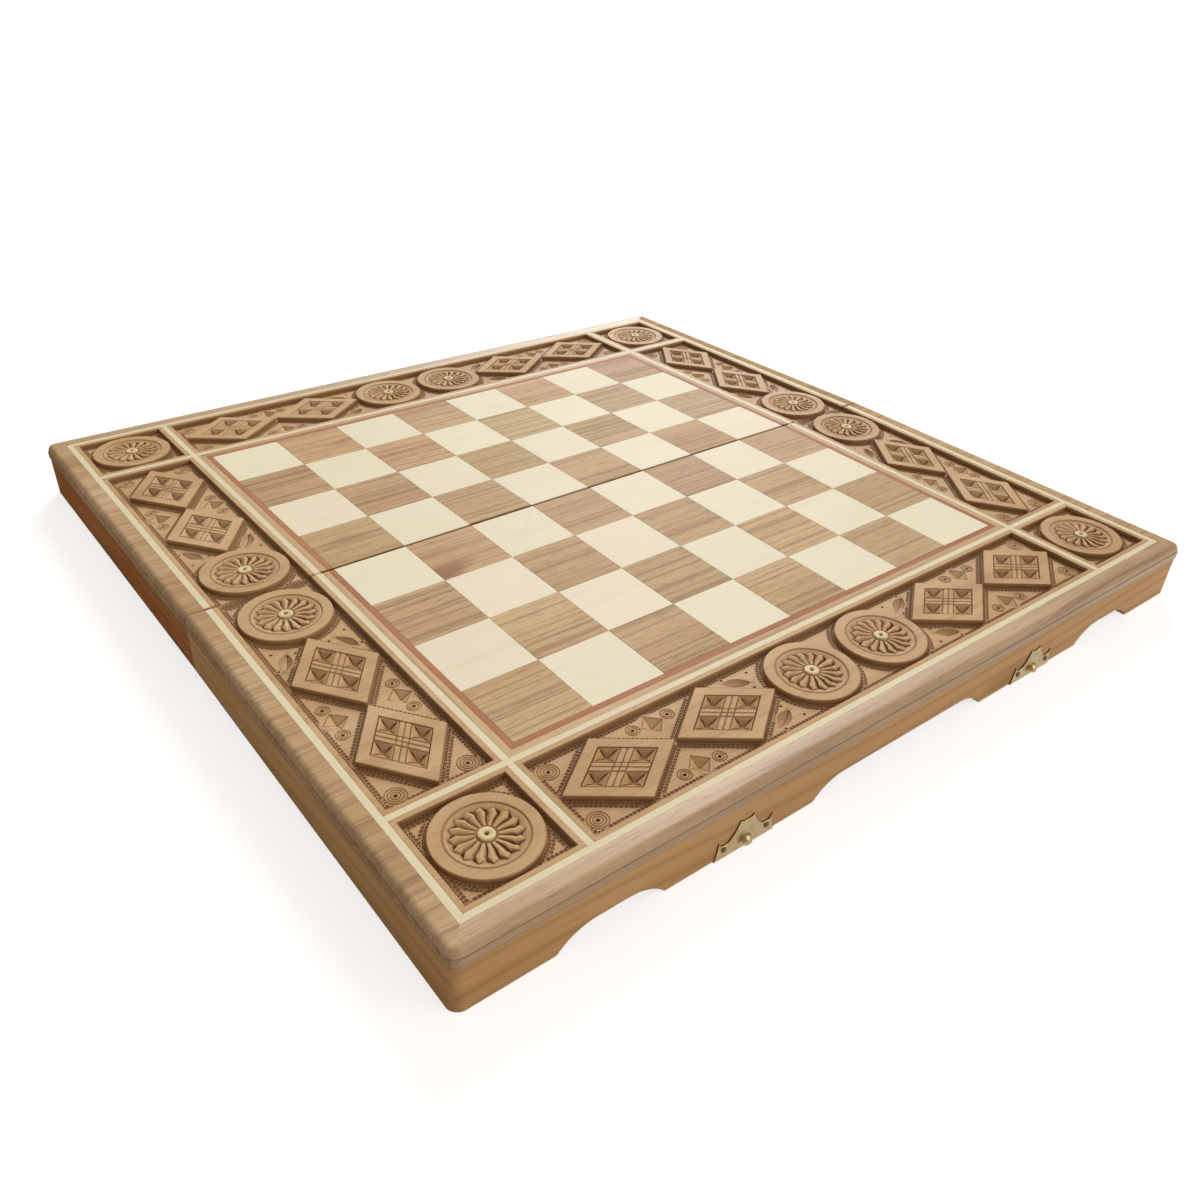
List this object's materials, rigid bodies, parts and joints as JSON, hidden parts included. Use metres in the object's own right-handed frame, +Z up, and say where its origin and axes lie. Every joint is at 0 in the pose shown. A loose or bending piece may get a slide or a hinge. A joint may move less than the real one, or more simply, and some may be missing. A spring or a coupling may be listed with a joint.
{
  "type": "chess set",
  "caption": "Folding wooden chess case opened flat as a playing board, with a chip-carved relief border, a scalloped rim, butt hinges at the fold and brass clasps.",
  "frame": {"origin": "on the surface the open case rests on, under the middle of the fold", "axes": "+Z up through the playing surface, +X along the fold towards the right-hand side, +Y across the fold towards the half that carries the hasps"},
  "size_m": [0.5, 0.5066, 0.0364],
  "materials": {
    "case_wood": "satin varnish",
    "frame_wood": "satin varnish",
    "dark_wood": "satin varnish",
    "pale_wood": "satin varnish",
    "red_wood": "satin varnish",
    "lining_wood": "plain",
    "brass": "aged, polished"
  },
  "bodies": {
    "far_half": {"far_long_wall": "case_wood", "far_left_wall": "case_wood", "far_right_wall": "case_wood", "far_spine_wall": "case_wood", "far_lining_board": "lining_wood", "far_field_board": "lining_wood", "far_dark_squares": "dark_wood", "far_light_squares": "pale_wood", "far_red_band": "red_wood", "far_walnut_band": "dark_wood", "far_inner_inlay": "pale_wood", "far_outer_inlay": "pale_wood", "far_long_panel": "frame_wood", "far_left_panel": "frame_wood", "far_right_panel": "frame_wood", "far_left_corner_panel": "frame_wood", "far_right_corner_panel": "frame_wood", "far_rosette_beads": "pale_wood", "far_long_moulding": "frame_wood", "far_left_moulding": "frame_wood", "far_right_moulding": "frame_wood", "far_hinge_screws": "brass", "far_hinge_leaves": "brass", "hinge_pins": "brass", "hasp_plates": "brass", "hasp_nails": "brass", "hasp_pins": "brass"},
    "near_half": {"near_long_wall": "case_wood", "near_left_wall": "case_wood", "near_right_wall": "case_wood", "near_spine_wall": "case_wood", "near_lining_board": "lining_wood", "near_field_board": "lining_wood", "near_dark_squares": "dark_wood", "near_light_squares": "pale_wood", "near_red_band": "red_wood", "near_walnut_band": "dark_wood", "near_inner_inlay": "pale_wood", "near_outer_inlay": "pale_wood", "near_long_panel": "frame_wood", "near_left_panel": "frame_wood", "near_right_panel": "frame_wood", "near_left_corner_panel": "frame_wood", "near_right_corner_panel": "frame_wood", "near_rosette_beads": "pale_wood", "near_long_moulding": "frame_wood", "near_left_moulding": "frame_wood", "near_right_moulding": "frame_wood", "near_hinge_screws": "brass", "near_hinge_leaves": "brass", "catch_plates": "brass", "catch_nails": "brass"},
    "left_hasp": {"left_hasp": "brass"},
    "right_hasp": {"right_hasp": "brass"}
  },
  "joints": [
    {"name": "fold", "type": "hinge", "parent": "far_half", "child": "near_half", "pos_m": [0, 0, 0.003], "axis": [1, 0, 0], "range_deg": [-1.38, 178.62]},
    {"name": "left_hasp_pivot", "type": "hinge", "parent": "far_half", "child": "left_hasp", "pos_m": [-0.106, 0.25171, 0.00217], "axis": [-1, 0, 0], "range_deg": [0, 180]},
    {"name": "right_hasp_pivot", "type": "hinge", "parent": "far_half", "child": "right_hasp", "pos_m": [0.106, 0.25171, 0.00217], "axis": [-1, 0, 0], "range_deg": [0, 180]}
  ]
}
